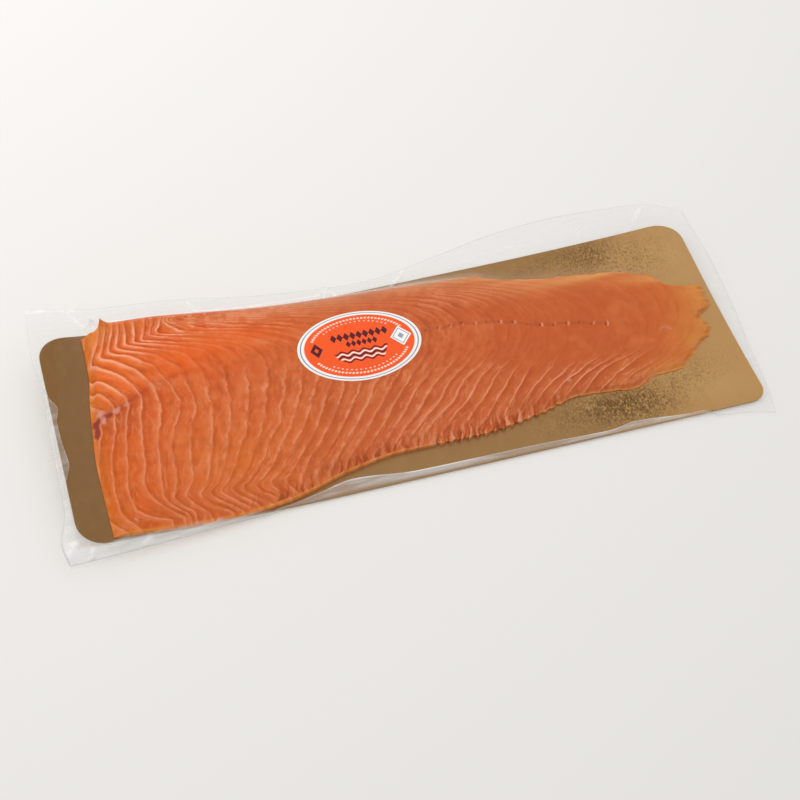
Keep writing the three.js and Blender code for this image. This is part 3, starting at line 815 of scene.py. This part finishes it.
def flesh_material():
    s = Shader("smoked_flesh")
    number = s.value("flake_number")
    strength = s.value("fat")
    uneven = s.value("unevenness")
    along, y = s.value("along"), s.value("across")
    lines, past, phase = lines_of_fat(s, number, s.value("flake_width"), y)
    # Band just past each line, which gets painted shade
    behind = s.step(past, 0.4, 1.4) * s.step(past, 5.5, 1.5)

    # Clouds, streaks along the flakes and small spots, then painted light that grows towards each line on its
    # side towards the cut end and painted shade just past it, and the line itself
    streak_place = s.node("ShaderNodeCombineXYZ", {"X": (number + s.sway(17, 0.5)) * 3.0, "Y": y / 16.0})
    streak = s.noise_at(streak_place.outputs[0], 1.5)
    colour = s.colour("flesh_colour")
    colour = s.mottle(colour, s.noise(24, 3), 0.18, "e58648", 0.22, "a8420e", uneven * 0.2)
    colour = s.mottle(colour, streak, 0.22, "e58f60", uneven * 0.24, "963a10", uneven * 0.26)
    colour = s.mottle(colour, s.noise(8, 2), 0.22, "ea9a68", uneven * 0.12, "8a3410", uneven * 0.1)
    colour = s.tint(colour, "ea9464", s.fraction(phase) ** 2.0 * strength * 0.3)
    colour = s.tint(colour, "96380e", behind * strength * 0.36)
    colour = s.mix(lines * strength, colour, s.mix(strength, rgba("de8456"), rgba("f8ab82")))

    colour = furrow_belly(s, colour, along, y)
    colour = mark_pin_bones(s, colour, along)
    colour = s.tint(colour, "8a3438", s.step(s.value("blood") + s.sway(5, 0.9), 0.3, 0.75) * 0.85)
    colour = s.tint(colour, "d99c8a", s.step(s.value("pale") + s.sway(4, 0.8), 0.3, 0.85) * 0.75)
    return s.principled({
        "Base Color": colour,
        "Roughness": s.noise(16, 2) * 0.15 + 0.33,
        "Normal": s.bump(lines * 0.5 + streak * 0.3, 0.25),
        "Subsurface Weight": 0.15,
        "Subsurface Radius": (1.0, 0.35, 0.2),
        "Subsurface Scale": 0.001,
        "Specular IOR Level": 0.06,
    })


def half_width(x, radius):
    """Half width of the board at x, next to a corner of the given radius."""
    past = np.maximum(0, np.abs(x) - HALF_LENGTH + radius)
    return HALF_WIDTH - radius + np.sqrt(np.maximum(0, radius ** 2 - past ** 2))


def board_grid():
    """Places of the board's points seen from above, in rows along x."""
    turn = np.linspace(0, np.pi / 2, BOARD_MESH["corner"])
    corner_x = HALF_LENGTH - BOARD["corner"] * (1 - np.sin(turn))
    middle_x = np.linspace(-corner_x[0], corner_x[0], BOARD_MESH["along"])[1:-1]
    xs = np.concatenate([-corner_x[::-1], middle_x, corner_x])
    near = half_width(xs, np.where(xs > 0, BOARD["near_right_corner"], BOARD["corner"]))
    far = half_width(xs, BOARD["corner"])
    y = lerp(-near[:, None], far[:, None], np.linspace(0, 1, BOARD_MESH["across"]))
    x = np.broadcast_to(xs[:, None], y.shape)
    right_share = smoothstep(x, BEND["right"], HALF_LENGTH)
    return x + BOARD["skew"] * right_share * (0.5 - y / BOARD["width"]) ** 3, y


def make_board():
    """The bent board with rounded corners: foil above, card at the edge and below."""
    x, y = board_grid()
    rows, cols = y.shape
    size = rows * cols
    shrink = 1 - BOARD_EDGE["inset"] / HALF_WIDTH

    def layer(height, scale):
        return np.stack([x * scale, y * scale, lift(x, y) + height], axis=-1).reshape(-1, 3)

    border = [i * cols for i in range(rows)] + [size - cols + j for j in range(1, cols)]
    border += [i * cols + cols - 1 for i in range(rows - 2, -1, -1)] + list(range(cols - 2, 0, -1))
    rim_top = layer(BOARD_TOP - BOARD_EDGE["bevel"], 1)[border]
    rim_low = layer(BOARD_UNDER + BOARD_EDGE["bevel"], 1)[border]
    points = np.concatenate([layer(BOARD_TOP, shrink), layer(BOARD_UNDER, shrink), rim_top, rim_low])
    top_faces = grid_faces(rows, cols)
    under_faces = size + top_faces[:, ::-1]
    count = len(border)
    rims = np.arange(2 * size, 2 * (size + count))
    loops = np.concatenate([border, rims, size + np.array(border)])
    side_faces = loops[grid_faces(4, count, closed=True)]
    faces = np.concatenate([top_faces, side_faces, under_faces]).tolist()
    all_x, all_y = points[:, 0], points[:, 1]
    # Painted reflection: brighter towards the right end, with painted dark and light reflections over it
    colour = blend(under_film(FOIL_DULL), FOIL_BRIGHT, foil_reflection_share(all_x))
    colour = paint(colour, all_x, all_y, FOIL_REFLECTIONS)
    values = {"foil_colour": opaque(colour), "speckle": patch_share(all_x, all_y, SPECKLES)}
    board = mesh_object("foil_board", points, faces, [foil_material(), card_material()], values,
                        replaces=["gold_board"], sharp=30)
    kinds = [0] * (len(top_faces) + count) + [1] * (2 * count + len(under_faces))
    board.data.polygons.foreach_set("material_index", kinds)


def foil_material():
    s = Shader("gold_foil")
    speckle = s.value("speckle")
    grain = s.noise(2.2, 4, stretch=(0.7, 1.2, 1), rough=0.7)
    colour = s.colour("foil_colour")
    # Painted glints and dark flecks in the coarser grain, over its bump
    colour = s.tint(colour, "d0a25c", s.step(grain, 0.51, 0.6) * speckle * 0.8)
    colour = s.tint(colour, "54360f", s.step(grain, 0.49, 0.4) * speckle * 0.75)
    blotches = speckle * 0.12 + 0.04
    broad = s.noise(14, 3, stretch=(0.6, 1, 1))
    colour = s.mottle(colour, broad, 0.2, "dcb070", blotches, "6a4818", blotches)
    return s.principled({
        "Base Color": colour,
        "Metallic": 0.55,
        "Roughness": s.noise(12, 2) * 0.1 + 0.36,
        "Normal": s.bump(grain * (speckle * 0.8 + 0.05), 0.12),
    })


def card_material():
    s = Shader("card_edge")
    layers = s.noise(1.2, 2, stretch=(20, 20, 0.35))
    return s.principled({
        "Base Color": s.mix(layers, rgba("7d6547"), rgba("b79b76")),
        "Roughness": 0.8,
        "Normal": s.bump(s.noise(0.8, 3), 0.08),
    })


def make_label():
    """The oval label, which follows the flesh under it."""
    reaches = np.linspace(LABEL_MESH["inmost"], 1, LABEL_MESH["rings"])
    angles = np.linspace(0, 2 * np.pi, LABEL_MESH["round"] + 1)[:-1]
    reach, angle = np.meshgrid(reaches, angles, indexing="ij")
    x = LABEL_HALF_X * reach * np.cos(angle)
    y = LABEL_HALF_Y * reach * np.sin(angle)
    place_x, place_y = LABEL["x"] + x, LABEL["y"] + y
    under = flesh_top(place_x, place_y) + GAP
    top = np.stack([place_x, place_y, under + LABEL["thickness"]], axis=-1)
    bottom = np.stack([place_x, place_y, under], axis=-1)
    rings = np.concatenate([top, bottom[::-1]])
    count, size = rings.shape[:2]
    middles = [list(range(size)), [(count - 1) * size + k for k in reversed(range(size))]]
    faces = [face[::-1] for face in grid_faces(count, size, closed=True).tolist() + middles]
    print_places = {"print_x": np.concatenate([x, x[::-1]]), "print_y": np.concatenate([y, y[::-1]])}
    mesh_object("printed_label", rings.reshape(-1, 3), faces, [label_material()], print_places,
                replaces=["label"])


def label_material():
    s = Shader("printed_paper")
    x, y = s.value("print_x"), s.value("print_y")

    def ink(colour, hexcode, share):
        return s.mix(share, colour, opaque(under_film(hexcode)))

    border = s.root((x / LABEL_HALF_X) ** 2.0 + (y / LABEL_HALF_Y) ** 2.0)
    colour = opaque(under_film(WHITE))
    for edge, hexcode in BORDER_RINGS:
        colour = ink(colour, hexcode, s.inside(border, edge))

    # Rows of small dots round the upper and the lower edge of the red field
    turn = s.math("ARCTAN2", y / DOTS["half_y"], x / DOTS["half_x"])
    for ring, count, size, widest in DOT_ROWS:
        bead = s.fraction(turn * count) - 0.5
        dot = s.root(bead ** 2.0 + ((border - ring) * DOTS["flat"]) ** 2.0)
        row = s.step(abs(s.math("SINE", turn)), widest, widest + 0.02)
        colour = ink(colour, DOTS["ink"], s.inside(dot, size, 0.06) * row)

    # Two rows of dark lozenges
    for level, pitch, left, right, size in LOZENGE_ROWS:
        across = (s.fraction((x - left) / pitch) - 0.5) * pitch
        lozenge = abs(across) + abs(y - level) * LOZENGE_SLOPE
        row = s.step(x, left, left + 0.1) * s.step(x, right, right - 0.1)
        colour = ink(colour, MAROON, s.inside(lozenge, size, 0.2) * row)

    # A dark diamond to the left of them and a white one with a dark line to the right
    for middle, narrow, size, hexcode in DIAMONDS:
        diamond = abs(x - middle) + abs(y - DIAMOND_Y) * narrow
        colour = ink(colour, hexcode, s.inside(diamond, size, 0.3))

    # Dark and white waves under them
    height = y - s.math("SINE", x * WAVE["turns"]) * WAVE["height"]
    for level, half, reach, hexcode in WAVES:
        wave = s.inside(abs(height - level), half, 0.25)
        colour = ink(colour, hexcode, wave * s.inside(abs(x), reach, 1.0))

    paper = s.noise(1.5, 3)
    return s.principled({
        "Base Color": s.tint(colour, "b0a49a", paper * 0.03),
        "Roughness": 0.42,
        "Normal": s.bump(paper, 0.03),
        "Specular IOR Level": 0.1,
    })


def film_ends(x, y):
    """Places along x of the film, with the rows past the board's ends drawn out to the film's edge."""
    past_left = np.clip((-FILM_END - x) / PAST_END, 0, 1)
    past_right = np.clip((x - FILM_END) / PAST_END, 0, 1)
    held = np.clip(x, -FILM_END, FILM_END)
    reach = past_left * film_left_over(y) + past_right * film_right_over(y)
    return held + np.sign(x) * reach, reach


def film_stations(spacing):
    """Places along x of the film's rows."""
    inner = np.linspace(-FILM_END, FILM_END, round(2 * FILM_END / spacing))
    outer = PAST_END * np.arange(1, PAST_ROWS + 1) / PAST_ROWS
    return np.concatenate([-FILM_END - outer[::-1], inner, FILM_END + outer])


def belly_sag(x):
    """How fast the belly margin sinks with its distance from the board."""
    return ramp(x, SAG["from"], SAG["to"], SAG["left_belly"], SAG["elsewhere"])


def back_height(beyond):
    """How far the film's back margin rises at its seam and sinks beyond it."""
    seam = SAG["seam"] * smoothstep(beyond, 0, SAG["seam_reach"])
    return seam - SAG["elsewhere"] * beyond ** 2


def lower_web_height(x, y, reach):
    """Height of the film under the board and of the margins beyond it."""
    beyond_back = np.maximum(0, y + HINGE)
    beyond_near = np.maximum(0, HINGE - y)
    drop = SAG["elsewhere"] * reach ** 2 + belly_sag(x) * beyond_near ** 2
    hold = np.clip(y, HINGE, HALF_WIDTH)
    return np.maximum(FILM_LOWEST, lift(x, hold) + FILM_MIDDLE + back_height(beyond_back) - drop)


def crease_height(x, y):
    total = np.zeros_like(x)
    for (x0, y0), (x1, y1), height, width in CREASES:
        length = np.hypot(x1 - x0, y1 - y0)
        ux, uy = (x1 - x0) / length, (y1 - y0) / length
        along = ((x - x0) * ux + (y - y0) * uy) / length
        aside = (x - x0) * -uy + (y - y0) * ux
        fade = np.clip(along, 0, 1) * np.clip(1 - along, 0, 1) * 4
        total = np.maximum(total, height * fade * np.exp(-(aside / width) ** 2))
    return total


def film_sheet(name, film, x, y, z, values):
    """A sheet of film through a grid of points."""
    points = np.stack([x, y, z], axis=-1)
    sheet = mesh_object(name, points.reshape(-1, 3), grid_faces(*x.shape).tolist(), [film], values,
                        replaces=["film_pouch"], sharp=80)
    sheet.visible_shadow = False


def make_upper_web(film):
    """The film over the pack: it clings to what lies under it, with small tents beside steep edges."""
    x, part = np.meshgrid(film_stations(UPPER_WEB["spacing"]), np.linspace(0, 1, UPPER_WEB["across"]),
                          indexing="ij")
    near = HINGE - belly_margin(x) * (1 - fold_over(x))
    y = lerp(near, film_back_edge(x), part)
    x, reach = film_ends(x, y)
    on_flesh = (y > belly_edge(x)) & (y < back_edge(x)) & (x > cut_end(y)) & (x < tail_end(y))
    on_board = (np.abs(y) < HALF_WIDTH) & (np.abs(x) < HALF_LENGTH)
    oval = ((x - LABEL["x"]) / LABEL_HALF_X) ** 2 + ((y - LABEL["y"]) / LABEL_HALF_Y) ** 2
    height = lower_web_height(x, y, reach) + CLING["film"]
    height = np.where(on_board, np.maximum(height, lift(x, y) + BOARD_TOP + CLING["board"]), height)
    height = np.where(on_flesh, np.maximum(height, flesh_top(x, y) + CLING["flesh"]), height)
    height = np.where(oval < CLING["label_edge"], height + GAP + LABEL["thickness"], height)
    floor = height.copy()
    for _ in range(CLING["rounds"]):
        middle = height[1:-1, 1:-1]
        sides = height[:-2, 1:-1] + height[2:, 1:-1] + height[1:-1, :-2] + height[1:-1, 2:]
        height[1:-1, 1:-1] = np.maximum(floor[1:-1, 1:-1], lerp(middle, sides / 4, CLING["pull"]))
    creases = crease_height(x, y)
    beyond = np.maximum.reduce([y - HALF_WIDTH, -HALF_WIDTH - y, np.abs(x) - HALF_LENGTH])
    # Milk beyond the board, partly painted light over the shade beside it, and painted highlights along the
    # creases
    milk_and_painted_light = patches(x, y, WHITE_MARGIN) * smoothstep(beyond, 0, 1.5) + FILM_WHITENESS["crease_highlight"] * creases
    milk_and_highlight = FILM_WHITENESS["clear"] + FILM_WHITENESS["margin"] * smoothstep(beyond, 0, FILM_WHITENESS["reach"]) + milk_and_painted_light
    rim = np.ones_like(x)
    rim[1:-1, 1:-1] = 0
    rim[:, 0] *= 1 - fold_over(x[:, 0])
    film_sheet("film_upper_web", film, x, y, height + creases, {"milk_and_highlight": milk_and_highlight, "rim": rim})


def make_lower_web(film):
    """The film under the board, with the sealed margin that is folded up over the board's near edge."""
    stations = film_stations(LOWER_WEB["spacing"])[:, None]
    held = np.clip(stations, -FILM_END, FILM_END)
    riser = BOARD["thickness"] + 2 * GAP
    fold = fold_over(held)
    turn = fold * np.pi

    share = np.linspace(1, 0, LOWER_WEB["margin"])
    out = share * belly_margin(held)
    rise = riser * np.sin(turn / 2) + out * np.sin(turn) - belly_sag(held) * out ** 2 * (1 - fold)
    margin_y = HINGE - riser * np.cos(turn / 2) - out * np.cos(turn)
    margin_z = lift(held, HINGE) + 2 * FILM_MIDDLE + rise
    # At the fold's free edge, the film's milk is a painted highlight
    folded_milk_and_highlight = FILM_WHITENESS["fold"] * smoothstep(share, 0, 0.5) + FILM_WHITENESS["fold_edge_highlight"] * (share == 1)
    margin_milk_and_highlight = np.where(share > 0, lerp(FILM_WHITENESS["margin"], folded_milk_and_highlight, fold), FILM_WHITENESS["clear"])

    under_y = np.linspace(HINGE, -HINGE, LOWER_WEB["under"]) + 0 * held
    under_z = lift(held, under_y) + FILM_MIDDLE

    share = np.linspace(0, 1, LOWER_WEB["back"])[1:]
    beyond = share * (film_back_edge(held) + HINGE)
    back_z = lift(held, HALF_WIDTH) + FILM_MIDDLE + back_height(beyond)

    y = np.concatenate([margin_y, under_y, beyond - HINGE], axis=1)
    z = np.concatenate([margin_z, under_z, back_z], axis=1)
    milk_and_highlight = [margin_milk_and_highlight, FILM_WHITENESS["clear"] + 0 * under_y, FILM_WHITENESS["margin"] * share + 0 * beyond]
    x, reach = film_ends(np.broadcast_to(stations, y.shape), y)
    z = np.maximum(FILM_LOWEST, z - SAG["elsewhere"] * reach ** 2)
    film_sheet("film_lower_web", film, x, y, z, {"milk_and_highlight": np.concatenate(milk_and_highlight, axis=1)})


def make_curl(film):
    """The film's left end, rolled up over the board's edge."""
    rows, cols = CURL["cells"]
    y, part = np.meshgrid(np.linspace(CURL["from"], CURL["to"], rows), np.linspace(0, 1, cols), indexing="ij")
    reach = curl_reach(y)
    angle = np.pi * np.clip(part * 2, 0, 1)
    x = -HALF_LENGTH - CURL["past"] - CURL["bulge"] * np.sin(angle) + reach * smoothstep(part, 0.4, 1)
    rise = CURL["height"] * (1 - np.cos(angle)) / 2 + CURL["lip"] * smoothstep(part, 0.5, 1)
    z = lift(-HALF_LENGTH, y) + CURL["foot"] + rise + CURL["slope"] * reach * part
    # The curl is partly milky and partly a painted highlight, brightest as a painted highlight along its lip
    film_sheet("film_end_curl", film, x, y, z, {"milk_and_highlight": FILM_WHITENESS["curl"] + FILM_WHITENESS["fold_edge_highlight"] * (part == 1)})


def film_material():
    """Clear glossy film, milky where it is hazed and in its painted highlights, and grey at its cut edge."""
    s = Shader("bag_film")
    ripple = s.bump(s.noise(14, 3), 0.2)
    clear = s.node("ShaderNodeBsdfTransparent", {"Color": (0.99, 0.99, 0.99, 1)}).outputs[0]
    shine = {"Color": (1, 1, 1, 1), "Roughness": 0.1, "Normal": ripple}
    gloss = s.node("ShaderNodeBsdfGlossy", shine).outputs[0]
    facing = s.node("ShaderNodeLayerWeight", {"Blend": 0.5, "Normal": ripple}).outputs["Facing"]
    mirror = Number(s, facing) ** 5.0 * 0.9 + 0.012
    film = s.node("ShaderNodeMixShader", {0: mirror, 1: clear, 2: gloss}).outputs[0]
    rim = s.value("rim")
    milk_colour = s.mix(rim, (0.88, 0.87, 0.86, 1), (0.5, 0.49, 0.48, 1))
    milk = s.node("ShaderNodeBsdfDiffuse", {"Color": milk_colour}).outputs[0]
    streaks = s.step(s.noise(6, 1, stretch=(7, 1, 1)), 0.35, 0.65)
    # Share of the milk, which also draws the painted highlights
    milky = s.most(s.value("milk_and_highlight") * (streaks * 0.8 + 0.6), rim * FILM_WHITENESS["rim"])
    return s.finish(s.node("ShaderNodeMixShader", {0: milky, 1: film, 2: milk}))


def make_floor():
    mesh = bpy.data.meshes.new("floor")
    corners = [(x * FLOOR["half"], y * FLOOR["half"], 0) for x, y in ((-1, -1), (1, -1), (1, 1), (-1, 1))]
    mesh.from_pydata(corners, [], [(0, 1, 2, 3)])
    floor = bpy.data.objects.new("floor", mesh)
    bpy.context.scene.collection.objects.link(floor)
    s = Shader("pale_floor")
    mesh.materials.append(s.principled({"Base Color": rgba(FLOOR["colour"]), "Roughness": 0.9}))


def add_lamp(name, place, size, power, mirrored):
    """A round soft lamp that shines towards the middle of the pack."""
    lamp = bpy.data.lights.new(name, "AREA")
    lamp.shape = "DISK"
    lamp.size = size
    lamp.energy = power
    lamp.use_shadow = False
    thing = bpy.data.objects.new(name, lamp)
    thing.visible_glossy = mirrored
    bpy.context.scene.collection.objects.link(thing)
    back = np.array(place) / np.linalg.norm(place)
    side = np.cross([0, 0, 1], back)
    side /= np.linalg.norm(side)
    turn = Matrix(np.column_stack([side, np.cross(back, side), back]).tolist()).to_4x4()
    thing.matrix_world = Matrix.Translation(place) @ turn


def light_the_scene():
    world = bpy.data.worlds.new("studio")
    world.use_nodes = True
    background = world.node_tree.nodes["Background"]
    background.inputs["Color"].default_value = ROOM_LIGHT["colour"]
    background.inputs["Strength"].default_value = ROOM_LIGHT["strength"]
    bpy.context.scene.world = world
    for lamp in LAMPS:
        add_lamp(**lamp)
    bpy.context.scene.view_settings.view_transform = "Standard"


def place_camera():
    camera = bpy.data.cameras.new("camera")
    camera.lens = CAMERA["lens"]
    camera.sensor_width = CAMERA["sensor"]
    camera.clip_start = 0.05
    thing = bpy.data.objects.new("camera", camera)
    bpy.context.scene.collection.objects.link(thing)
    axes = np.column_stack([CAMERA["right"], -np.array(CAMERA["down"]), -np.array(CAMERA["forward"])])
    thing.matrix_world = Matrix.Translation(CAMERA["place"]) @ Matrix(axes.tolist()).to_4x4()
    bpy.context.scene.camera = thing


place_camera()
make_flesh()
make_board()
make_label()
film = film_material()
make_lower_web(film)
make_upper_web(film)
make_curl(film)
make_floor()
light_the_scene()
